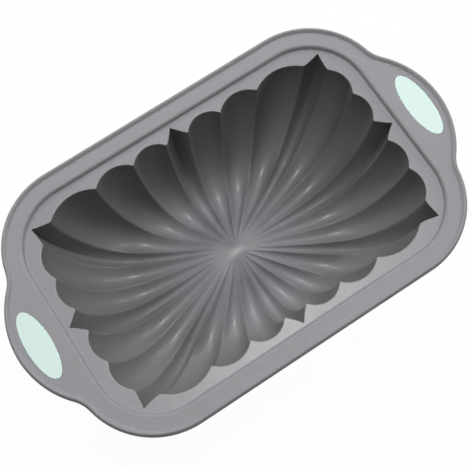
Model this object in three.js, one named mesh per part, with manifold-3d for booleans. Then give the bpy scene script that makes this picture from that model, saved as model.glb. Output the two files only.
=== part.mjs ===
// Fluted loaf pan. One grey silicone moulding holds a closed steel wire in its rim, and a mint
// grip is set into each end handle. Millimetres, +Z up, +X along the pan, standing on z = 0.
// The shapes are drawn with the ledge round the cavity at z = 0, and the whole pan is then raised.

import * as THREE from 'three';
import { mergeVertices } from 'three/addons/utils/BufferGeometryUtils.js';
import Module from 'manifold-3d';

// Rim outline, seen from above
const rimLength = 254.4; // without the handles
const rimWidth = 172;
const rimCornerRadius = 49.6;
const handleReach = 17.8; // how far a handle stands out past the end of the rim
const handleRadius = 56.7; // round front of a handle
const handleBlendRadius = 20.6; // hollow curve between a handle and the rim

// Rim section
const beadDiameter = 4.4; // full-round outer edge
const beadRise = 1.7; // top of the bead above the flange
const beadFoot = 2.6; // blend from the bead to the flat underside, measured inwards
const flangeThickness = 3;
const flangeWidth = 13.1; // outer edge to the step down to the ledge
const stepHeight = 2.8; // flange top above the ledge
const stepFillet = 1.8;
const stepDraft = 0.4;
const ledgeThickness = 2.6;
const ledgeWidth = 2.4; // at its narrowest, outside the pointed flutes

// Flutes, measured at the mouth of the cavity out from the line through their crests
const tipDepth = 8.3; // the eight pointed flutes
const tipWidth = 15;
const tipHollow = 1.15; // above 1, the two sides of a point curve inwards
const tipFade = 1.05; // below 1, the flutes keep more of their depth on the way to the centre
const lobeFade = 0.8;
const cornerTurn = THREE.MathUtils.degToRad(47.5); // direction of a corner point, from the long axis
const endLobeDepth = 4.1;
const sideLobeDepth = 5.7;
const endLobeWidths = [21.2, 22]; // in proportion, from the middle of an end to its corner
const sideLobeWidths = [32.6, 26, 22.9]; // in proportion, from a corner to the middle of a side
const tipSteps = 4;
const endLobeSteps = 4;
const sideLobeSteps = 6;

// Bowl that the flutes are pressed into
const centreDepth = 59; // raised middle, where all flutes meet
const floorDepth = 69.5; // ring round the middle
const floorShare = 0.58; // place of that ring, from the centre to the mouth
const wallFullness = 2.3; // power that keeps the floor flat before the wall rises
const wallSteepness = 0.68; // power that brings the wall upright at the mouth
const bowlRows = [0.15, 0.3, 0.45, floorShare, 0.7, 0.8, 0.88, 0.94, 0.98];
const cupWall = 3.4;
const padDepth = 1.9; // cut off the lowest flutes to give flat pads to stand on

// Steel wire inside the rim
const wireDiameter = 2;
const wireClearance = 0.3;
const wireSteps = 80;
const wireSides = 8;
const pinHoleDiameter = 1.8; // left by the mould pins that hold the wire
const pinHoleCount = 8; // evenly spaced round the rim, none at the middle of a handle
const pinHoleSides = 8;

// Mint grips
const gripLength = 44; // across the handle
const gripWidth = 15.4;
const gripLip = 1; // foot under the handle, wider than the face on top
const gripLipThickness = 1.2;
const gripEdge = 0.4; // rounding of the face
const gripGap = 6.4; // between the face and the front edge of the handle, taken at the middle
const gripClearance = 0.3;
const gripSteps = 16; // to each half of the oval

const greySilicone = new THREE.MeshStandardMaterial({ color: 0x8d8d92, roughness: 0.55, metalness: 0 });
const mintSilicone = new THREE.MeshStandardMaterial({ color: 0xd2ebe3, roughness: 0.5, metalness: 0 });
const steel = new THREE.MeshStandardMaterial({ color: 0xb4b6b8, roughness: 0.35, metalness: 1 });

const wasm = await Module();
wasm.setup();

// Solids for cutting and joining

function solidOf(geometry) {
  const bare = geometry.clone();
  bare.deleteAttribute('normal');
  bare.deleteAttribute('uv');
  const merged = mergeVertices(bare, 1e-4);
  const vertProperties = new Float32Array(merged.attributes.position.array);
  const triVerts = new Uint32Array(merged.index.array);
  return new wasm.Manifold(new wasm.Mesh({ numProp: 3, vertProperties, triVerts }));
}

function geometryOf(solid) {
  const mesh = solid.getMesh();
  const geometry = new THREE.BufferGeometry();
  geometry.setAttribute('position', new THREE.BufferAttribute(mesh.vertProperties, 3));
  geometry.setIndex(new THREE.BufferAttribute(mesh.triVerts, 1));
  geometry.computeVertexNormals();
  return geometry;
}

// Outlines of the rim

const cornerX = rimLength / 2 - rimCornerRadius;
const cornerY = rimWidth / 2 - rimCornerRadius;
const handleCentreX = rimLength / 2 + handleReach - handleRadius;

// Centre of the hollow curve: it touches the corner arc and the front arc of the handle from outside.
function blendCentre() {
  const toCorner = rimCornerRadius + handleBlendRadius;
  const toHandle = handleRadius + handleBlendRadius;
  const apart = Math.hypot(cornerX - handleCentreX, cornerY);
  const along = (toHandle ** 2 - toCorner ** 2 + apart ** 2) / (2 * apart);
  const aside = Math.sqrt(toHandle ** 2 - along ** 2);
  const ux = (cornerX - handleCentreX) / apart;
  const uy = cornerY / apart;
  return new THREE.Vector2(handleCentreX + along * ux + aside * uy, along * uy - aside * ux);
}

// The rim with its two handles, drawn inwards of the outer edge by the inset.
function rimOutline(inset) {
  const blend = blendCentre();
  const cornerEnd = Math.atan2(blend.y - cornerY, blend.x - cornerX);
  const handleEnd = Math.atan2(blend.y, blend.x - handleCentreX);
  const path = new THREE.Path();
  for (const turn of [0, Math.PI]) {
    const sign = Math.cos(turn);
    const arc = (x, y, radius, from, to, clockwise) => {
      path.absarc(sign * x, sign * y, radius, turn + from, turn + to, clockwise);
    };
    arc(handleCentreX, 0, handleRadius - inset, -handleEnd, handleEnd, false);
    arc(blend.x, blend.y, handleBlendRadius + inset, handleEnd + Math.PI, cornerEnd + Math.PI, true);
    arc(cornerX, cornerY, rimCornerRadius - inset, cornerEnd, Math.PI / 2, false);
    arc(-cornerX, cornerY, rimCornerRadius - inset, Math.PI / 2, Math.PI - cornerEnd, false);
    arc(-blend.x, blend.y, handleBlendRadius + inset, -cornerEnd, -handleEnd, true);
  }
  path.closePath();
  return path;
}

// The rim without its handles, a rounded rectangle drawn inwards by the inset.
function bodyOutline(inset) {
  const path = new THREE.Path();
  const radius = rimCornerRadius - inset;
  const corners = [[1, 1], [-1, 1], [-1, -1], [1, -1]];
  corners.forEach(([sx, sy], index) => {
    const from = (index * Math.PI) / 2;
    path.absarc(sx * cornerX, sy * cornerY, radius, from, from + Math.PI / 2, false);
  });
  path.closePath();
  return path;
}

// Where a ray from the middle of the pan, through a point, crosses an outline.
function crossing(ring, through) {
  for (let index = 0; index < ring.length; index += 1) {
    const a = ring[index];
    const b = ring[(index + 1) % ring.length];
    const sideA = through.cross(a);
    const sideB = through.cross(b);
    if (sideA <= 0 && sideB > 0 && a.dot(through) > 0) {
      return a.clone().lerp(b, sideA / (sideA - sideB));
    }
  }
  throw new Error('the outline does not go round the middle');
}

// Flutes at the mouth: one column of points for each small step round the cavity

const crestInset = flangeWidth + ledgeWidth + tipDepth;
const crestRadius = rimCornerRadius - crestInset;

// A point on the crest line of one quarter, by its distance from the middle of the +X end.
function crestPoint(distance) {
  const arcLength = (crestRadius * Math.PI) / 2;
  const angle = THREE.MathUtils.clamp((distance - cornerY) / crestRadius, 0, Math.PI / 2);
  const pastArc = Math.max(0, distance - cornerY - arcLength);
  const x = cornerX + crestRadius * Math.cos(angle) - pastArc;
  const y = Math.min(distance, cornerY) + crestRadius * Math.sin(angle);
  return new THREE.Vector2(x, y);
}

function splitRun(from, to, widths) {
  const total = widths.reduce((sum, width) => sum + width, 0);
  let place = from;
  return widths.map((width) => {
    place += ((to - from) * width) / total;
    return place;
  });
}

function quarterCrests() {
  const corner = cornerY + crestRadius * cornerTurn;
  const end = cornerY + (crestRadius * Math.PI) / 2 + cornerX;
  const half = tipWidth / 2;
  const endRun = [half, ...splitRun(half, corner - half, endLobeWidths)];
  const sideRun = [corner + half, ...splitRun(corner + half, end - half, sideLobeWidths)];
  return [...endRun, ...sideRun].map(crestPoint);
}

// Height of a flute's section over its chord, from 0 to 1 along the chord.
function tipHeight(place, depth) {
  return depth * (1 - Math.abs(2 * place - 1)) ** tipHollow;
}

function lobeHeight(place, depth, chord) {
  const radius = (chord ** 2 / 4 + depth ** 2) / (2 * depth);
  const aside = chord * (place - 0.5);
  return Math.sqrt(radius ** 2 - aside ** 2) - (radius - depth);
}

// The flutes in order round the mouth: the crest before each, its kind, and the crest after it.
function fluteList() {
  const quarter = quarterCrests();
  const kinds = [
    ...endLobeWidths.map(() => 'end'),
    'tip',
    ...sideLobeWidths.map(() => 'side'),
    'tip',
  ];
  const backKinds = [...kinds.slice(0, -1).reverse(), 'tip'];
  const crests = [];
  const flutes = [];
  for (const [sx, sy] of [[1, 1], [-1, 1], [-1, -1], [1, -1]]) {
    const forward = sx * sy > 0;
    const points = forward ? quarter : [...quarter].reverse();
    points.forEach((point, index) => {
      crests.push(new THREE.Vector2(sx * point.x, sy * point.y));
      flutes.push(forward ? kinds[index] : backKinds[index]);
    });
  }
  return flutes.map((kind, index) => ({ kind, from: crests[index], to: crests[(index + 1) % crests.length] }));
}

function mouthColumns() {
  const flutes = fluteList();
  const steps = { tip: tipSteps, end: endLobeSteps, side: sideLobeSteps };
  const depths = { tip: tipDepth, end: endLobeDepth, side: sideLobeDepth };
  const sagitta = crestRadius - Math.sqrt(crestRadius ** 2 - tipWidth ** 2 / 4);
  const outward = ({ from, to }) => new THREE.Vector2(to.y - from.y, from.x - to.x).normalize();
  const columns = [];
  flutes.forEach((flute, index) => {
    const before = flutes[(index + flutes.length - 1) % flutes.length];
    const chord = flute.from.distanceTo(flute.to);
    const out = outward(flute);
    const atCorner = flute.kind === 'tip' && Math.abs(out.x * out.y) > 0.1;
    const depth = depths[flute.kind] + (atCorner ? sagitta : 0);
    const height = flute.kind === 'tip' ? tipHeight : lobeHeight;
    const fade = flute.kind === 'tip' ? tipFade : lobeFade;
    columns.push({ crest: flute.from, out: outward(before).add(out).normalize(), bulge: 0, fade });
    for (let step = 1; step < steps[flute.kind]; step += 1) {
      const place = step / steps[flute.kind];
      const crest = flute.from.clone().lerp(flute.to, place);
      columns.push({ crest, out, bulge: height(place, depth, chord), fade });
    }
  });
  return columns;
}

// Bowl: depth by the share of the way from the centre to the mouth

function bowlDepth(share) {
  if (share < floorShare) {
    const rise = (1 - Math.cos((Math.PI * share) / floorShare)) / 2;
    return centreDepth + (floorDepth - centreDepth) * rise;
  }
  const climb = (share - floorShare) / (1 - floorShare);
  return floorDepth * (1 - climb ** wallFullness) ** wallSteepness;
}

// A point of the cup: on the bowl, moved out square to it by the flute's bulge and by the wall.
function cupPoint(column, share, wall) {
  const small = 1e-3;
  const rise = (bowlDepth(share - small) - bowlDepth(share + small)) / (2 * small);
  const slope = rise / column.crest.dot(column.out);
  const down = 1 / Math.hypot(1, slope);
  const shift = column.bulge * share ** column.fade + wall;
  const flat = column.crest.clone().multiplyScalar(share);
  flat.addScaledVector(column.out, shift * slope * down);
  return new THREE.Vector3(flat.x, flat.y, -bowlDepth(share) - shift * down);
}

// Closed skin from rings of points, each ring one turn round the pan, with a point at each end.
function skinOf(first, rings, last) {
  const count = rings[0].length;
  const points = [first, ...rings.flat(), last];
  const index = [];
  const at = (ring, column) => 1 + ring * count + (column % count);
  for (let column = 0; column < count; column += 1) {
    index.push(0, at(0, column), at(0, column + 1));
    for (let ring = 0; ring + 1 < rings.length; ring += 1) {
      const a = at(ring, column);
      const b = at(ring + 1, column);
      const c = at(ring + 1, column + 1);
      const d = at(ring, column + 1);
      index.push(a, b, c, a, c, d);
    }
    index.push(points.length - 1, at(rings.length - 1, column + 1), at(rings.length - 1, column));
  }
  const geometry = new THREE.BufferGeometry().setFromPoints(points);
  geometry.setIndex(index);
  return geometry;
}

const beadRadius = beadDiameter / 2;
const beadHeight = stepHeight + beadRise - beadRadius; // middle of the bead, and of the wire in it
const beadStart = 180 - THREE.MathUtils.radToDeg(Math.asin(1 - beadRise / beadRadius));

function panSkin() {
  const columns = mouthColumns();
  const mouth = columns.map(({ crest, out, bulge }) => crest.clone().addScaledVector(out, bulge));
  const outlineSteps = 1440;
  const onOutline = (outline, z) => {
    const ring = outline.getSpacedPoints(outlineSteps).slice(0, -1);
    return mouth.map((point) => {
      const hit = crossing(ring, point);
      return new THREE.Vector3(hit.x, hit.y, z);
    });
  };
  const rings = [];
  for (const share of bowlRows) {
    rings.push(columns.map((column) => cupPoint(column, share, 0)));
  }
  rings.push(mouth.map((point) => new THREE.Vector3(point.x, point.y, 0)));

  const stepTop = flangeWidth - stepDraft;
  const roundOff = stepFillet * (1 - Math.SQRT1_2);
  rings.push(onOutline(bodyOutline(flangeWidth), 0));
  rings.push(onOutline(bodyOutline(stepTop), stepHeight - stepFillet));
  rings.push(onOutline(bodyOutline(stepTop - roundOff), stepHeight - roundOff));
  rings.push(onOutline(bodyOutline(stepTop - stepFillet), stepHeight));

  for (const turn of [beadStart, 130, 90, 45, 0, -45, -90]) {
    const angle = THREE.MathUtils.degToRad(turn);
    const inset = beadRadius * (1 - Math.cos(angle));
    rings.push(onOutline(rimOutline(inset), beadHeight + beadRadius * Math.sin(angle)));
  }
  const underside = stepHeight - flangeThickness;
  const ledgeUnder = flangeWidth - ledgeThickness;
  rings.push(onOutline(rimOutline(beadRadius + beadFoot), underside));
  rings.push(onOutline(bodyOutline(ledgeUnder - stepDraft), underside));
  rings.push(onOutline(bodyOutline(ledgeUnder), -ledgeThickness));

  rings.push(columns.map(({ out }, index) => {
    const flat = mouth[index].clone().addScaledVector(out, cupWall);
    return new THREE.Vector3(flat.x, flat.y, -ledgeThickness);
  }));
  for (const share of [...bowlRows].reverse()) {
    rings.push(columns.map((column) => cupPoint(column, share, cupWall)));
  }
  const top = new THREE.Vector3(0, 0, -centreDepth);
  const bottom = new THREE.Vector3(0, 0, -centreDepth - cupWall);
  return skinOf(top, rings, bottom);
}

// Wire and the channel for it

function rimTube(radius) {
  const line = rimOutline(beadRadius).getSpacedPoints(wireSteps).slice(0, -1);
  const curve = new THREE.CatmullRomCurve3(line.map(({ x, y }) => new THREE.Vector3(x, y, beadHeight)), true);
  return new THREE.TubeGeometry(curve, wireSteps, radius, wireSides, true);
}

function pinHoles() {
  const line = rimOutline(beadRadius);
  const handleMiddle = line.curves[0].getLength() / line.getLength() / 2;
  const holes = [];
  for (let count = 0; count < pinHoleCount; count += 1) {
    const { x, y } = line.getPoint((handleMiddle + (count + 0.5) / pinHoleCount) % 1);
    const hole = new THREE.CylinderGeometry(pinHoleDiameter / 2, pinHoleDiameter / 2, beadDiameter, pinHoleSides);
    hole.rotateX(Math.PI / 2);
    hole.translate(x, y, beadHeight - beadRadius);
    holes.push(hole);
  }
  return holes;
}

// Grips: an oval face on top, and a wider foot that locks it into the handle from below

function ovalPlate(grow, from, to, edge) {
  const shape = new THREE.Shape();
  shape.absellipse(0, 0, gripWidth / 2 + grow - edge, gripLength / 2 + grow - edge, 0, 2 * Math.PI, false);
  const plate = new THREE.ExtrudeGeometry(shape, {
    depth: to - from - 2 * edge,
    curveSegments: gripSteps,
    bevelEnabled: edge > 0,
    bevelThickness: edge,
    bevelSize: edge,
    bevelSegments: 2,
  });
  plate.translate(0, 0, from + edge);
  return solidOf(plate);
}

const gripPlaceX = rimLength / 2 + handleReach - gripGap - gripWidth / 2;
const handleUnder = stepHeight - flangeThickness;
const lipTop = handleUnder + gripLipThickness;

function gripSolid() {
  const face = ovalPlate(0, handleUnder + gripEdge, stepHeight, gripEdge);
  const foot = ovalPlate(gripLip, handleUnder, lipTop, 0);
  return face.add(foot);
}

function gripPocket(side) {
  const past = flangeThickness;
  const face = ovalPlate(gripClearance, handleUnder - past, stepHeight + past, 0);
  const foot = ovalPlate(gripLip + gripClearance, handleUnder - past, lipTop + gripClearance, 0);
  return face.add(foot).translate([side * gripPlaceX, 0, 0]);
}

// Put the pan together

const skin = panSkin();
skin.computeBoundingBox();
const padLevel = skin.boundingBox.min.z + padDepth;

function belowPads() {
  const size = 2 * (rimLength + handleReach);
  const slab = new THREE.BoxGeometry(size, size, 2 * padDepth);
  slab.translate(0, 0, padLevel - padDepth);
  return solidOf(slab);
}

let body = solidOf(skin).subtract(belowPads());
body = body.subtract(solidOf(rimTube(wireDiameter / 2 + wireClearance)));
for (const hole of pinHoles()) {
  body = body.subtract(solidOf(hole));
}
for (const side of [-1, 1]) {
  body = body.subtract(gripPocket(side));
}

const pan = new THREE.Group();
pan.position.z = -padLevel;

function addPiece(name, geometry, material) {
  const mesh = new THREE.Mesh(geometry, material);
  mesh.name = name;
  pan.add(mesh);
  return mesh;
}

addPiece('pan_body', geometryOf(body), greySilicone);
addPiece('rim_frame', rimTube(wireDiameter / 2), steel);
for (const [name, side] of [['grip_left', -1], ['grip_right', 1]]) {
  addPiece(name, geometryOf(gripSolid()), mintSilicone).position.x = side * gripPlaceX;
}

export default pan;
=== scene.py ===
# Looks of a fluted loaf pan of grey silicone with mint grips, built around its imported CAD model.
# Metres, +Z up, +X along the pan from one handle to the other, standing on z = 0.

import math

import bmesh
import bpy
from mathutils import Matrix, Vector


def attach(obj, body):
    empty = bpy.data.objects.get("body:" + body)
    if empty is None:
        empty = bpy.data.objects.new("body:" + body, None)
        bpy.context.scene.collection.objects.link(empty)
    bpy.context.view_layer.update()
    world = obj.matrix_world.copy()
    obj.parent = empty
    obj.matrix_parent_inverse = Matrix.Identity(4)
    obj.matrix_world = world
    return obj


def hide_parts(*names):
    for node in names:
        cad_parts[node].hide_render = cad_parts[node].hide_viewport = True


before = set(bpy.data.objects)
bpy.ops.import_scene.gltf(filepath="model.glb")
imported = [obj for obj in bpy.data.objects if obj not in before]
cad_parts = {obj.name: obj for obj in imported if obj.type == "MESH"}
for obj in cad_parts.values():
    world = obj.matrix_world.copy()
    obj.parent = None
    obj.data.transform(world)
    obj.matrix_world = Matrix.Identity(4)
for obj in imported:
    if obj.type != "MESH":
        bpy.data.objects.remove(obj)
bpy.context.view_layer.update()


# Camera. The photograph looks down steeply into the cavity from one long side, with the pan's
# far right end towards the upper right corner of the picture.
mm = 0.001
ledge_level = 76.314 * mm
camera_azimuth = math.radians(-30.811)
camera_elevation = math.radians(73.93)
camera_roll = math.radians(-2.642)
camera_place = Vector((0.05, -7.2, 598.25)) * mm
picture_width = 36.0
focal_length = 79.2

lens = bpy.data.cameras.new("photo_camera")
lens.sensor_fit = "HORIZONTAL"
lens.sensor_width = picture_width
lens.lens = focal_length
camera = bpy.data.objects.new("photo_camera", lens)
bpy.context.scene.collection.objects.link(camera)
turned = (
    Matrix.Rotation(camera_azimuth, 4, "Z")
    @ Matrix.Rotation(math.pi / 2 - camera_elevation, 4, "X")
    @ Matrix.Rotation(camera_roll, 4, "Z")
)
camera.matrix_world = Matrix.Translation((0, 0, ledge_level)) @ turned @ Matrix.Translation(camera_place)
bpy.context.scene.camera = camera
bpy.context.scene.view_settings.view_transform = "Standard"


# Studio. A white table that runs off on all sides, a square soft box almost straight above the pan,
# a low wide panel at its right, another beyond its far side, and weak light from the room.
table_size = 6.0
table_colour = (0.9, 0.9, 0.9, 1)
table_white_share = 0.975
room_colour = (1, 1, 1, 1)
room_strength = 0.04
soft_box = {"size": 0.2, "distance": 1.15, "lean": Vector((0.12, 0.09, 1.0)), "power": 7.3}
right_panel = {"size": 0.6, "distance": 1.6, "lean": Vector((0.86, 0.05, 0.42)), "power": 7.0}
back_panel = {"size": 0.6, "distance": 1.6, "lean": Vector((0.05, 0.75, 0.6)), "power": 8.8}


def seen_directly(nodes):
    """1 where the backdrop itself is looked at, through the camera, and 0 for its light."""
    return nodes.new("ShaderNodeLightPath").outputs["Is Camera Ray"]


room = bpy.data.worlds.new("white_room")
bpy.context.scene.world = room
room.use_nodes = True
nodes = room.node_tree.nodes
links = room.node_tree.links
nodes.clear()
room_light = nodes.new("ShaderNodeBackground")
room_light.inputs["Color"].default_value = room_colour
room_light.inputs["Strength"].default_value = room_strength
room_seen = nodes.new("ShaderNodeBackground")
room_seen.inputs["Color"].default_value = room_colour
room_mix = nodes.new("ShaderNodeMixShader")
links.new(seen_directly(nodes), room_mix.inputs["Fac"])
links.new(room_light.outputs[0], room_mix.inputs[1])
links.new(room_seen.outputs[0], room_mix.inputs[2])
room_out = nodes.new("ShaderNodeOutputWorld")
links.new(room_mix.outputs[0], room_out.inputs["Surface"])

table_finish = bpy.data.materials.new("white_table")
table_finish.use_nodes = True
nodes = table_finish.node_tree.nodes
links = table_finish.node_tree.links
nodes.clear()
table_paint = nodes.new("ShaderNodeBsdfDiffuse")
table_paint.inputs["Color"].default_value = table_colour
table_glow = nodes.new("ShaderNodeEmission")
table_share = nodes.new("ShaderNodeMath")
table_share.operation = "MULTIPLY"
table_share.inputs[1].default_value = table_white_share
links.new(seen_directly(nodes), table_share.inputs[0])
table_mix = nodes.new("ShaderNodeMixShader")
links.new(table_share.outputs[0], table_mix.inputs["Fac"])
links.new(table_paint.outputs[0], table_mix.inputs[1])
links.new(table_glow.outputs[0], table_mix.inputs[2])
table_out = nodes.new("ShaderNodeOutputMaterial")
links.new(table_mix.outputs[0], table_out.inputs["Surface"])

table_mesh = bmesh.new()
bmesh.ops.create_grid(table_mesh, x_segments=2, y_segments=2, size=table_size / 2)
table_data = bpy.data.meshes.new("table")
table_mesh.to_mesh(table_data)
table_mesh.free()
table_data.materials.append(table_finish)
table = bpy.data.objects.new("table", table_data)
bpy.context.scene.collection.objects.link(table)

for name, setting in (("soft_box", soft_box), ("right_panel", right_panel), ("back_panel", back_panel)):
    light = bpy.data.lights.new(name, "AREA")
    light.shape = "SQUARE"
    light.size = setting["size"]
    light.energy = setting["power"]
    lamp = bpy.data.objects.new(name, light)
    bpy.context.scene.collection.objects.link(lamp)
    turn = setting["lean"].to_track_quat("Z", "Y").to_matrix().to_4x4()
    lamp.matrix_world = Matrix.Translation(setting["lean"].normalized() * setting["distance"]) @ turn


# Pan body. One grey silicone moulding: a cup pressed into flutes that all meet in the middle of its
# floor, a ledge round its mouth, and a raised flange with a bead along its edge and two end handles.
# The mould is polished where the cake touches, and etched matt on the rim and outside.
rim_length = 254.4 * mm
rim_width = 172.0 * mm
rim_corner_radius = 49.6 * mm
handle_reach = 17.8 * mm
handle_radius = 56.7 * mm
handle_blend_radius = 20.6 * mm
bead_rise = 1.7 * mm
bead_top_inset = 1.6 * mm
bead_crown = 1.0 * mm
bead_slope = math.radians(48)
bead_hollow = 1.0 * mm
bead_under = 1.0 * mm
bead_arc_steps = 8
pin_hole_inset = 2.2 * mm
pin_hole_radius = 0.9 * mm
pin_hole_depth = 1.7 * mm
pin_hole_steps = 16
pin_hole_places = (0.25, 0.75)
flange_thickness = 3.0 * mm
flange_width = 13.1 * mm
step_height = 2.8 * mm
step_fillet = 1.8 * mm
step_foot_fillet = 0.5 * mm
step_draft = 0.4 * mm
ledge_thickness = 2.6 * mm
ledge_width = 2.4 * mm
mouth_edge = 0.55 * mm
tip_depth = 8.3 * mm
tip_width = 15.0 * mm
tip_hollow = 1.15
tip_fade = 0.85
tip_ridge_round = 3.0 * mm
tip_steps = 16
trough_depth_share = 0.95
trough_flatness = 3.0
corner_turn = math.radians(47.5)
end_lobe_depth = 4.1 * mm
side_lobe_depth = 5.7 * mm
end_lobe_widths = (21.2, 22.0)
side_lobe_widths = (32.6, 26.0, 22.9)
lobe_fade = 0.42
lobe_swell = 0.22
lobe_ridge_round = 2.2 * mm
end_lobe_steps = 18
side_lobe_steps = 22
column_crowding = 0.6
ridge_round_mouth = 0.35 * mm
mouth_blend = 4
centre_smooth = 0.5
centre_depth = 59.0 * mm
floor_depth = 69.5 * mm
floor_share = 0.58
wall_fullness = 2.3
wall_steepness = 0.68
floor_rows = 20
wall_rows = 30
cup_wall = 3.4 * mm
outer_wall_rows = 18
flat_margin = 0.2 * mm
same_place = 1e-6
sharp_angle = math.radians(50)
polished = 0
etched = 1
ledge_shine = 2

corner_x = rim_length / 2 - rim_corner_radius
corner_y = rim_width / 2 - rim_corner_radius
crest_radius = rim_corner_radius - flange_width - ledge_width - tip_depth
handle_centre_x = rim_length / 2 + handle_reach - handle_radius


def crest_point(distance):
    """A point on the line through the flutes' crests, by its distance from the middle of the +X end."""
    angle = min(max((distance - corner_y) / crest_radius, 0), math.pi / 2)
    past_corner = max(0, distance - corner_y - crest_radius * math.pi / 2)
    x = corner_x + crest_radius * math.cos(angle) - past_corner
    y = min(distance, corner_y) + crest_radius * math.sin(angle)
    return Vector((x, y))


def split_run(start, end, widths):
    """Places along a run that split it in proportion to the widths."""
    places = [start]
    for width in widths:
        places.append(places[-1] + (end - start) * width / sum(widths))
    return places


def lobe_height(place, chord, depth):
    """How far an arc of this depth stands out from its chord, at a share of the way along it."""
    radius = (chord**2 / 4 + depth**2) / (2 * depth)
    aside = chord * (place - 0.5)
    return math.sqrt(max(radius**2 - aside**2, 0)) - (radius - depth)


def tip_height(place, depth):
    """The same for a pointed flute, with slightly hollow sides."""
    return depth * max(0, 1 - abs(2 * place - 1)) ** tip_hollow


def flute_columns(start, end, kind, depth, steps, first=0):
    """Columns of points over one flute at the mouth, close together at its crests. A pointed flute has
    them close at its point as well. The last crest is left for the flute after it."""
    chord = (end - start).length
    out = Vector((end.y - start.y, start.x - end.x)).normalized()
    pointed = kind == "tip"
    waves = 4 if pointed else 2
    columns = []
    for step in range(first, steps):
        place = step / steps
        place -= column_crowding * math.sin(waves * math.pi * place) / (waves * math.pi)
        height = tip_height(place, depth) if pointed else lobe_height(place, chord, depth)
        trough = trough_depth_share * depth * (1 - abs(2 * place - 1) ** trough_flatness)
        column = {
            "crest": start.lerp(end, place),
            "out": out,
            "depth": depth,
            "height": height,
            "floor_height": trough if pointed else height,
            "fade": tip_fade if pointed else lobe_fade,
            "swell": 0 if pointed else lobe_swell,
            "ridge": tip_ridge_round if pointed else lobe_ridge_round,
        }
        columns.append(column)
    return columns


def quarter_columns():
    """Columns from the point in the middle of the +X end to the point in the middle of the +Y side."""
    half_tip = tip_width / 2
    corner = corner_y + crest_radius * corner_turn
    side_end = corner_y + crest_radius * math.pi / 2 + corner_x
    end_run = split_run(half_tip, corner - half_tip, end_lobe_widths)
    side_run = split_run(corner + half_tip, side_end - half_tip, side_lobe_widths)
    crests = [crest_point(distance) for distance in end_run + side_run]
    kinds = ["end"] * len(end_lobe_widths) + ["tip"] + ["side"] * len(side_lobe_widths)
    sagitta = crest_radius - math.sqrt(crest_radius**2 - half_tip**2)
    depths = {"end": end_lobe_depth, "side": side_lobe_depth, "tip": tip_depth + sagitta}
    steps = {"end": end_lobe_steps, "side": side_lobe_steps, "tip": tip_steps}
    end_tip_start = Vector((crests[0].x, -crests[0].y))
    side_tip_end = Vector((-crests[-1].x, crests[-1].y))
    runs = [flute_columns(end_tip_start, crests[0], "tip", tip_depth, tip_steps, tip_steps // 2)]
    for index, kind in enumerate(kinds):
        runs.append(flute_columns(crests[index], crests[index + 1], kind, depths[kind], steps[kind]))
    last = flute_columns(crests[-1], side_tip_end, "tip", tip_depth, tip_steps)
    runs.append(last[: tip_steps // 2 + 1])
    for before, after in zip(runs, runs[1:]):
        after[0]["out"] = (before[-1]["out"] + after[1]["out"]).normalized()
    return [column for run in runs for column in run]


def bowl(row):
    """Share of the way to the mouth, and depth, for rows from 0 at the centre, 1 at the lowest ring
    of the floor, to 2 at the mouth."""
    if row < 1:
        rise = (1 - math.cos(math.pi * row)) / 2
        return floor_share * row, centre_depth + (floor_depth - centre_depth) * rise
    angle = (row - 1) * math.pi / 2
    climb = math.sin(angle) ** (2 / wall_fullness)
    return floor_share + (1 - floor_share) * climb, floor_depth * math.cos(angle) ** (2 * wall_steepness)


def flute_shift(column, share):
    """How far a flute stands out from the bowl. A round one swells half way in, a pointed one becomes a
    flat trough on the floor, and all die away at the centre, with the ridges between them rounded off."""
    shrink = share ** column["fade"] * (1 + column["swell"] * 4 * share * (1 - share))
    up_wall = share**mouth_blend
    height = (column["floor_height"] + (column["height"] - column["floor_height"]) * up_wall) * shrink
    depth = column["depth"] * shrink
    ridge_round = column["ridge"] + (ridge_round_mouth - column["ridge"]) * up_wall
    settle = min(share / centre_smooth, 1)
    settle = settle * settle * (3 - 2 * settle)
    return height**2 / (height + ridge_round) * (1 + ridge_round / depth) * settle


def cup_point(column, row, wall):
    """A point of the cup, moved out square to the bowl by the flute's bulge and by the wall."""
    nudge = 1e-3
    share, depth = bowl(row)
    share_before, depth_before = bowl(max(row - nudge, 0))
    share_after, depth_after = bowl(min(row + nudge, 2))
    rise = depth_before - depth_after
    run = (share_after - share_before) * column["crest"].dot(column["out"])
    slant = math.hypot(rise, run)
    shift = flute_shift(column, share) + wall
    flat = column["crest"] * share + column["out"] * (shift * rise / slant)
    return Vector((flat.x, flat.y, ledge_level - depth - shift * run / slant))


def mouth_point(column, past, level):
    """A point past the edge of the mouth, at a level."""
    flat = column["crest"] + column["out"] * (flute_shift(column, 1) + past)
    return Vector((flat.x, flat.y, level))


def ray_to_arc(direction, centre, radius, far=True):
    """Distance along a ray from the middle of the pan to an arc that it meets."""
    along = direction.dot(centre)
    inside = along**2 - centre.length_squared + radius**2
    return along + math.sqrt(inside) * (1 if far else -1)


def body_outline(direction, inset):
    """Where a ray in the first quarter crosses the rim without its handles, drawn inwards by the inset."""
    half_length = rim_length / 2 - inset
    half_width = rim_width / 2 - inset
    reach = min(half_length / max(direction.x, 1e-9), half_width / max(direction.y, 1e-9))
    hit = direction * reach
    if hit.x > corner_x and hit.y > corner_y:
        hit = direction * ray_to_arc(direction, Vector((corner_x, corner_y)), rim_corner_radius - inset)
    return hit


def blend_centre():
    """Centre of the hollow curve between a handle and the corner of the rim."""
    to_corner = rim_corner_radius + handle_blend_radius
    to_handle = handle_radius + handle_blend_radius
    between = Vector((corner_x - handle_centre_x, corner_y))
    along = (to_handle**2 - to_corner**2 + between.length_squared) / (2 * between.length)
    aside = math.sqrt(to_handle**2 - along**2)
    unit = between.normalized()
    return Vector((handle_centre_x + along * unit.x + aside * unit.y, along * unit.y - aside * unit.x))


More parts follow.
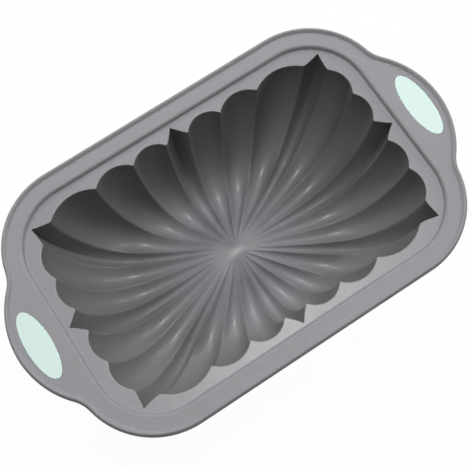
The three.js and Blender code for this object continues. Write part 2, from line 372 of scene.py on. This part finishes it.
def rim_outline(direction, inset):
    """Where a ray in the first quarter crosses the rim with its handles, drawn inwards by the inset."""
    handle = Vector((handle_centre_x, 0))
    corner = Vector((corner_x, corner_y))
    blend = blend_centre()
    ray = math.atan2(direction.y, direction.x)
    on_handle = handle + (blend - handle).normalized() * (handle_radius - inset)
    on_corner = corner + (blend - corner).normalized() * (rim_corner_radius - inset)
    if ray <= math.atan2(on_handle.y, on_handle.x):
        return direction * ray_to_arc(direction, handle, handle_radius - inset)
    if ray <= math.atan2(on_corner.y, on_corner.x):
        return direction * ray_to_arc(direction, blend, handle_blend_radius + inset, far=False)
    return body_outline(direction, inset)


def on_outline(outline, column, inset, level):
    """Where the ray through a column's point at the mouth crosses an outline, at a level."""
    mouth = mouth_point(column, 0, 0)
    hit = outline(Vector((mouth.x, mouth.y)).normalized(), inset)
    return Vector((hit.x, hit.y, level))


columns = quarter_columns()
flange_top = ledge_level + step_height
flange_under = flange_top - flange_thickness
ledge_under = ledge_level - ledge_thickness
step_top = flange_width - step_draft
under_step = flange_width - ledge_thickness

pan_mesh = bmesh.new()
column_number = pan_mesh.verts.layers.int.new("column_number")


def first_row(place):
    """A row of points round the first quarter, joined by edges."""
    points = [pan_mesh.verts.new(place(column)) for column in columns]
    for number, point in enumerate(points):
        point[column_number] = number
    return [pan_mesh.edges.new(pair) for pair in zip(points, points[1:])]


def draw_out(mesh, edges):
    """Draws a line of edges out by one step, and gives its new points and its new line."""
    drawn = bmesh.ops.extrude_edge_only(mesh, edges=edges)["geom"]
    points = [part for part in drawn if isinstance(part, bmesh.types.BMVert)]
    ends = set(points)
    new_edges = [part for part in drawn if isinstance(part, bmesh.types.BMEdge)]
    return points, [edge for edge in new_edges if set(edge.verts) <= ends]


def give_finish(edges, finish):
    """Gives the faces along a line of edges their finish."""
    for edge in edges:
        for face in edge.link_faces:
            face.material_index = finish


def next_row(edges, place, finish):
    """The row drawn out by one step, with each new point put at its place on its column."""
    points, row = draw_out(pan_mesh, edges)
    for point in points:
        point.co = place(columns[point[column_number]])
    give_finish(row, finish)
    return row


def close_in_middle(row, depth):
    """Brings a row together in one point over the middle of the floor."""
    points = list(dict.fromkeys(point for edge in row for point in edge.verts))
    bmesh.ops.pointmerge(pan_mesh, verts=points, merge_co=(0, 0, ledge_level - depth))


def quarter_turns(steps):
    """Angles of a rounded edge, from 0 to a quarter turn."""
    return [math.pi / 2 * step / steps for step in range(steps + 1)]


def edge_arc(inset, level, reach, rise, start, turn):
    """Places on part of an oval in the section of the rim, from its start angle through its turn."""
    angles = [start + turn * step / bead_arc_steps for step in range(1, bead_arc_steps + 1)]
    return [(inset - reach * math.cos(angle), level + rise * math.sin(angle)) for angle in angles]


# The cavity, from its mouth down to the point in the middle where all flutes meet
mouth_row = first_row(lambda column: mouth_point(column, 0, ledge_level - mouth_edge))
row = mouth_row
wall_levels = [2 - step / wall_rows for step in range(1, wall_rows)]
floor_levels = [1 - step / floor_rows for step in range(floor_rows)]
for level in wall_levels + floor_levels:
    if bowl(level)[1] > 2 * mouth_edge:
        row = next_row(row, lambda column: cup_point(column, level, 0), polished)
close_in_middle(row, centre_depth)

# The rounded edge of the mouth, the ledge, and the step up to the flange
row = mouth_row
for angle in quarter_turns(3)[1:]:
    past = mouth_edge * (1 - math.cos(angle))
    level = ledge_level - mouth_edge * (1 - math.sin(angle))
    row = next_row(row, lambda column: mouth_point(column, past, level), ledge_shine)
row = next_row(row, lambda column: mouth_point(column, mouth_edge + flat_margin, ledge_level), ledge_shine)
foot_start = flange_width + step_foot_fillet
foot_margin = foot_start + flat_margin
row = next_row(row, lambda column: on_outline(body_outline, column, foot_margin, ledge_level), ledge_shine)
for angle in quarter_turns(3):
    inset = foot_start - step_foot_fillet * math.sin(angle)
    level = ledge_level + step_foot_fillet * (1 - math.cos(angle))
    row = next_row(row, lambda column: on_outline(body_outline, column, inset, level), etched)
for angle in quarter_turns(6):
    inset = step_top - step_fillet * (1 - math.cos(angle))
    level = flange_top - step_fillet * (1 - math.sin(angle))
    row = next_row(row, lambda column: on_outline(body_outline, column, inset, level), etched)
inset = step_top - step_fillet - flat_margin
row = next_row(row, lambda column: on_outline(body_outline, column, inset, flange_top), etched)

# The outer edge: a raised bead with a sloped inner side and a rounded top, then down to the underside
up = math.pi / 2
crown_level = flange_top + bead_rise - bead_crown
slope_top_inset = bead_top_inset + bead_crown * math.sin(bead_slope)
slope_top_level = crown_level + bead_crown * math.cos(bead_slope)
slope_foot_level = flange_top + bead_hollow * (1 - math.cos(bead_slope))
slope_run = (slope_top_level - slope_foot_level) / math.tan(bead_slope)
hollow_inset = slope_top_inset + slope_run + bead_hollow * math.sin(bead_slope)
edge_level = flange_under + bead_under
side_rise = flange_top + bead_rise - edge_level
edge_section = [(hollow_inset, flange_top)]
edge_section += edge_arc(hollow_inset, flange_top + bead_hollow, bead_hollow, bead_hollow, -up, bead_slope)
edge_section += [(slope_top_inset, slope_top_level)]
edge_section += edge_arc(bead_top_inset, crown_level, bead_crown, bead_crown, up + bead_slope, -bead_slope)
edge_section += edge_arc(bead_top_inset, edge_level, bead_top_inset, side_rise, up, -up)
edge_section += edge_arc(bead_under, edge_level, bead_under, bead_under, 0, -up)
edge_section += [(bead_under + flat_margin, flange_under)]
row = first_row(lambda column: on_outline(rim_outline, column, hollow_inset + flat_margin, flange_top))
for inset, level in edge_section:
    row = next_row(row, lambda column: on_outline(rim_outline, column, inset, level), etched)

# The holes left below the bead by the mould pins that hold the wire, two in each quarter
pin_line = [on_outline(rim_outline, column, pin_hole_inset, flange_under) for column in columns]
pin_reach = [0]
for before, after in zip(pin_line, pin_line[1:]):
    pin_reach.append(pin_reach[-1] + (after - before).length)
for share in pin_hole_places:
    nearest = min(range(len(pin_line)), key=lambda number: abs(pin_reach[number] - share * pin_reach[-1]))
    spot = Matrix.Translation(pin_line[nearest])
    circle = bmesh.ops.create_circle(pan_mesh, segments=pin_hole_steps, radius=pin_hole_radius, matrix=spot)
    mouth = list(dict.fromkeys(edge for point in circle["verts"] for edge in point.link_edges))
    top_points, top = draw_out(pan_mesh, mouth)
    bmesh.ops.translate(pan_mesh, verts=top_points, vec=(0, 0, pin_hole_depth))
    bmesh.ops.contextual_create(pan_mesh, geom=top_points)
    give_finish(top, etched)

# The underside, from the flange to the outside of the cup and its flat feet on the table
row = first_row(lambda column: on_outline(body_outline, column, under_step - step_draft, flange_under))
row = next_row(row, lambda column: on_outline(body_outline, column, under_step, ledge_under), etched)
row = next_row(row, lambda column: mouth_point(column, cup_wall + mouth_edge, ledge_under), etched)
row = next_row(row, lambda column: mouth_point(column, cup_wall, ledge_under - mouth_edge), etched)
outer_levels = [2 - step / outer_wall_rows for step in range(1, outer_wall_rows)]
for level in outer_levels + floor_levels:
    if bowl(level)[1] > ledge_thickness + 3 * mouth_edge:
        row = next_row(row, lambda column: cup_point(column, level, cup_wall), etched)
close_in_middle(row, centre_depth + cup_wall)
for point in pan_mesh.verts:
    point.co.z = max(point.co.z, 0)

for axis in ("X", "Y"):
    everything = pan_mesh.verts[:] + pan_mesh.edges[:] + pan_mesh.faces[:]
    bmesh.ops.mirror(pan_mesh, geom=everything, merge_dist=same_place, axis=axis)

# The pocket in each handle, with rounded lips and a wider room below for the foot of the grip
grip_half_length = 22.0 * mm
grip_half_width = 7.7 * mm
grip_margin = 6.4 * mm
grip_place = rim_length / 2 + handle_reach - grip_margin - grip_half_width
grip_gap = 0.06 * mm
grip_lip = 1.0 * mm
grip_lip_thickness = 1.2 * mm
pocket_edge = 0.2 * mm
lip_steps = 4
oval_steps = 96


def move_oval(points, number_layer, centre_x, grow, level):
    """Puts numbered points on the oval of a grip, grown all round, at a level."""
    for point in points:
        angle = 2 * math.pi * point[number_layer] / oval_steps
        x = centre_x + (grip_half_width + grow) * math.cos(angle)
        point.co = (x, (grip_half_length + grow) * math.sin(angle), level)


def first_oval(mesh, number_layer, centre_x, grow, level):
    """A closed oval of edges round a grip, with each point numbered."""
    ring = bmesh.ops.create_circle(mesh, segments=oval_steps, radius=1)["verts"]
    for number, point in enumerate(ring):
        point[number_layer] = number
    move_oval(ring, number_layer, centre_x, grow, level)
    return list(dict.fromkeys(edge for point in ring for edge in point.link_edges))


def next_oval(mesh, number_layer, edges, centre_x, grow, level, finish):
    """The oval drawn out by one step, to another size and level."""
    points, oval = draw_out(mesh, edges)
    move_oval(points, number_layer, centre_x, grow, level)
    give_finish(oval, finish)
    return oval


shoulder = flange_under + grip_lip_thickness + grip_gap
pocket_room = grip_gap + grip_lip
for side in (-1, 1):
    centre_x = side * grip_place
    grow = grip_gap + pocket_edge + flat_margin
    oval = first_oval(pan_mesh, column_number, centre_x, grow, flange_top)
    for angle in quarter_turns(lip_steps):
        grow = grip_gap + pocket_edge * (1 - math.sin(angle))
        level = flange_top - pocket_edge * (1 - math.cos(angle))
        oval = next_oval(pan_mesh, column_number, oval, centre_x, grow, level, etched)
    for grow, level in ((grip_gap, shoulder), (pocket_room, shoulder), (pocket_room, flange_under)):
        oval = next_oval(pan_mesh, column_number, oval, centre_x, grow, level, etched)

# The flat top and underside of the flange, filled between the step, the outer edge and the pockets
for level in (flange_top, flange_under):
    rims = [
        edge
        for edge in pan_mesh.edges
        if edge.is_boundary and all(abs(point.co.z - level) < same_place for point in edge.verts)
    ]
    filled = bmesh.ops.triangle_fill(
        pan_mesh,
        use_beauty=True,
        use_dissolve=False,
        edges=rims,
        normal=(0, 0, 1),
    )
    for part in filled["geom"]:
        if isinstance(part, bmesh.types.BMFace):
            part.material_index = etched
bmesh.ops.remove_doubles(pan_mesh, verts=pan_mesh.verts, dist=same_place / 10)

# Its finishes: satin in the cavity, with shade painted into its grey at the middle of the floor and up the
# walls, smooth on the ledge, and matt elsewhere
silicone_bending = 1.42
skin_roughness = 0.27
cloud_scale = 28.0
speck_scale = 900.0
rub_scale = 60.0
grey_pigment = (0.3, 0.296, 0.313, 1)
# Painted shade: the cavity's grey is darker at the middle point of the floor and up the walls than on the
# rest of the floor.
middle_painted_shade = (0.21, 0.206, 0.222, 1)
floor_pigment = (0.315, 0.311, 0.333, 1)
wall_painted_shade = (0.192, 0.185, 0.187, 1)
wall_reach = 72.0 * mm
floor_start = 0.2
floor_end = 0.44
polished_surface = {
    "Clouds": 0.06,
    "Specks": 0.3,
    "Roughness": 0.58,
    "Roughness Change": 0.2,
    "Grain Scale": 260,
}
polished_gloss = {"shine": 1.0, "skin": 0.45, "bump": 0.15, "grain": 0.2 * mm}
etched_surface = {
    "Clouds": 0.06,
    "Specks": 0.2,
    "Roughness": 0.62,
    "Roughness Change": 0.1,
    "Grain Scale": 2200,
}
etched_gloss = {"shine": 0.5, "skin": 0, "bump": 0.25, "grain": 0.05 * mm}
ledge_surface = {
    "Clouds": 0.06,
    "Specks": 0.15,
    "Roughness": 0.33,
    "Roughness Change": 0.2,
    "Grain Scale": 260,
}
ledge_gloss = {"shine": 0.3, "skin": 0, "bump": 0.15, "grain": 0.2 * mm}


def moulded_silicone():
    """Colour, roughness and surface height of moulded silicone: faint clouds of pigment, fine specks,
    and a grain left by the mould. Inputs give the colour and how strong each is."""
    group = bpy.data.node_groups.new("moulded_silicone", "ShaderNodeTree")
    sockets = group.interface
    sockets.new_socket("Pigment", in_out="INPUT", socket_type="NodeSocketColor")
    for name in polished_surface:
        sockets.new_socket(name, in_out="INPUT", socket_type="NodeSocketFloat")
    sockets.new_socket("Colour", in_out="OUTPUT", socket_type="NodeSocketColor")
    sockets.new_socket("Roughness", in_out="OUTPUT", socket_type="NodeSocketFloat")
    sockets.new_socket("Height", in_out="OUTPUT", socket_type="NodeSocketFloat")
    nodes = group.nodes
    links = group.links
    given = nodes.new("NodeGroupInput")
    result = nodes.new("NodeGroupOutput")
    place = nodes.new("ShaderNodeTexCoord")

    def noise(detail):
        texture = nodes.new("ShaderNodeTexNoise")
        texture.inputs["Detail"].default_value = detail
        links.new(place.outputs["Object"], texture.inputs["Vector"])
        return texture

    def change(scale, detail, amount):
        """1 plus a change of the given amount either way, from noise of the given scale."""
        texture = noise(detail)
        texture.inputs["Scale"].default_value = scale
        centred = nodes.new("ShaderNodeMath")
        centred.operation = "SUBTRACT"
        centred.inputs[1].default_value = 0.5
        links.new(texture.outputs["Fac"], centred.inputs[0])
        scaled = nodes.new("ShaderNodeMath")
        scaled.operation = "MULTIPLY_ADD"
        links.new(centred.outputs[0], scaled.inputs[0])
        links.new(amount, scaled.inputs[1])
        scaled.inputs[2].default_value = 1
        return scaled.outputs[0]

    def product(first, second):
        both = nodes.new("ShaderNodeMath")
        both.operation = "MULTIPLY"
        links.new(first, both.inputs[0])
        links.new(second, both.inputs[1])
        return both.outputs[0]

    clouds = change(cloud_scale, 4, given.outputs["Clouds"])
    specks = change(speck_scale, 2, given.outputs["Specks"])
    tinted = nodes.new("ShaderNodeVectorMath")
    tinted.operation = "SCALE"
    links.new(given.outputs["Pigment"], tinted.inputs[0])
    links.new(product(clouds, specks), tinted.inputs["Scale"])
    links.new(tinted.outputs["Vector"], result.inputs["Colour"])

    rubbed = change(rub_scale, 5, given.outputs["Roughness Change"])
    links.new(product(rubbed, given.outputs["Roughness"]), result.inputs["Roughness"])
    grain = noise(3)
    links.new(given.outputs["Grain Scale"], grain.inputs["Scale"])
    links.new(grain.outputs["Fac"], result.inputs["Height"])
    return group


silicone_group = moulded_silicone()


def silicone_finish(name, pigment, surface_values, gloss):
    """A silicone material with its own pigment, roughness, shine, glossy skin and grain."""
    finish = bpy.data.materials.new(name)
    finish.use_nodes = True
    nodes = finish.node_tree.nodes
    links = finish.node_tree.links
    shader = nodes["Principled BSDF"]
    shader.inputs["IOR"].default_value = silicone_bending
    shader.inputs["Specular IOR Level"].default_value = gloss["shine"]
    shader.inputs["Coat Weight"].default_value = gloss["skin"]
    shader.inputs["Coat Roughness"].default_value = skin_roughness
    shader.inputs["Coat IOR"].default_value = silicone_bending
    surface = nodes.new("ShaderNodeGroup")
    surface.name = "surface"
    surface.node_tree = silicone_group
    surface.inputs["Pigment"].default_value = pigment
    for key, value in surface_values.items():
        surface.inputs[key].default_value = value
    bump = nodes.new("ShaderNodeBump")
    bump.inputs["Strength"].default_value = gloss["bump"]
    bump.inputs["Distance"].default_value = gloss["grain"]
    links.new(surface.outputs["Colour"], shader.inputs["Base Color"])
    links.new(surface.outputs["Roughness"], shader.inputs["Roughness"])
    links.new(surface.outputs["Height"], bump.inputs["Height"])
    links.new(bump.outputs["Normal"], shader.inputs["Normal"])
    return finish


polished_finish = silicone_finish("grey_silicone_polished", floor_pigment, polished_surface, polished_gloss)
etched_finish = silicone_finish("grey_silicone_etched", grey_pigment, etched_surface, etched_gloss)
ledge_finish = silicone_finish("grey_silicone_ledge", grey_pigment, ledge_surface, ledge_gloss)

# Painted shade in the cavity: by distance from the middle of the floor, its grey darkens towards the middle
# point and out up the walls.
nodes = polished_finish.node_tree.nodes
links = polished_finish.node_tree.links
place = nodes.new("ShaderNodeTexCoord")
from_middle = nodes.new("ShaderNodeVectorMath")
from_middle.operation = "DISTANCE"
from_middle.inputs[1].default_value = (0, 0, ledge_level - centre_depth)
links.new(place.outputs["Object"], from_middle.inputs[0])
outwards = nodes.new("ShaderNodeMath")
outwards.operation = "DIVIDE"
outwards.inputs[1].default_value = wall_reach
links.new(from_middle.outputs["Value"], outwards.inputs[0])
painted_shade_ramp = nodes.new("ShaderNodeValToRGB")
painted_shade_ramp.color_ramp.interpolation = "EASE"
painted_shade_ramp.color_ramp.elements[0].color = middle_painted_shade
painted_shade_ramp.color_ramp.elements[1].color = wall_painted_shade
for share in (floor_start, floor_end):
    painted_shade_ramp.color_ramp.elements.new(share).color = floor_pigment
links.new(outwards.outputs[0], painted_shade_ramp.inputs["Fac"])
links.new(painted_shade_ramp.outputs["Color"], nodes["surface"].inputs["Pigment"])


def finished_piece(name, mesh, finishes):
    """The object of a finished mesh, smooth except at sharp folds, with its finishes in order."""
    bmesh.ops.recalc_face_normals(mesh, faces=mesh.faces)
    for face in mesh.faces:
        face.smooth = True
    data = bpy.data.meshes.new(name)
    mesh.to_mesh(data)
    mesh.free()
    data.set_sharp_from_angle(angle=sharp_angle)
    for finish in finishes:
        data.materials.append(finish)
    piece = bpy.data.objects.new(name, data)
    bpy.context.scene.collection.objects.link(piece)
    return piece


pan = finished_piece("pan", pan_mesh, (polished_finish, etched_finish, ledge_finish))
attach(pan, "root")
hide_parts("pan_body")


# Rim wire. A closed loop of drawn steel wire moulded into the raised bead, which keeps the soft
# rim and handles stiff. It lies wholly inside the silicone, so its CAD solid stays as it is.
wire_colour = (0.46, 0.47, 0.48, 1)
wire_smoothest = 0.25
wire_roughest = 0.45
draw_mark_scale = 700

wire_finish = bpy.data.materials.new("drawn_steel")
wire_finish.use_nodes = True
nodes = wire_finish.node_tree.nodes
links = wire_finish.node_tree.links
shader = nodes["Principled BSDF"]
shader.inputs["Base Color"].default_value = wire_colour
shader.inputs["Metallic"].default_value = 1
place = nodes.new("ShaderNodeTexCoord")
draw_marks = nodes.new("ShaderNodeTexNoise")
draw_marks.inputs["Scale"].default_value = draw_mark_scale
links.new(place.outputs["Object"], draw_marks.inputs["Vector"])
wire_rough = nodes.new("ShaderNodeMapRange")
wire_rough.inputs["To Min"].default_value = wire_smoothest
wire_rough.inputs["To Max"].default_value = wire_roughest
links.new(draw_marks.outputs["Fac"], wire_rough.inputs["Value"])
links.new(wire_rough.outputs["Result"], shader.inputs["Roughness"])
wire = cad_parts["rim_frame"]
wire.material_slots[0].material = wire_finish


# Grips. A pale mint silicone oval set into each handle, flush with it, and held by a wider foot
# that is seen only from below.
grip_edge = 0.3 * mm
mint_pigment = (0.7, 0.868, 0.825, 1)
mint_surface = {
    "Clouds": 0.03,
    "Specks": 0.1,
    "Roughness": 0.5,
    "Roughness Change": 0.1,
    "Grain Scale": 2200,
}
mint_gloss = {"shine": 0.5, "skin": 0, "bump": 0.2, "grain": 0.05 * mm}
mint_finish = silicone_finish("mint_silicone", mint_pigment, mint_surface, mint_gloss)

lip_top = flange_under + grip_lip_thickness
for name, side in (("left", -1), ("right", 1)):
    grip_mesh = bmesh.new()
    oval_number = grip_mesh.verts.layers.int.new("oval_number")
    centre_x = side * grip_place
    oval = first_oval(grip_mesh, oval_number, centre_x, -grip_edge - flat_margin, flange_top)
    bmesh.ops.contextual_create(grip_mesh, geom=oval)
    for angle in quarter_turns(lip_steps):
        grow = -grip_edge * (1 - math.sin(angle))
        level = flange_top - grip_edge * (1 - math.cos(angle))
        oval = next_oval(grip_mesh, oval_number, oval, centre_x, grow, level, 0)
    for grow, level in ((0, lip_top), (grip_lip, lip_top), (grip_lip, flange_under)):
        oval = next_oval(grip_mesh, oval_number, oval, centre_x, grow, level, 0)
    bmesh.ops.contextual_create(grip_mesh, geom=oval)
    grip = finished_piece("grip_" + name + "_inlay", grip_mesh, (mint_finish,))
    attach(grip, "root")
    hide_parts("grip_" + name)
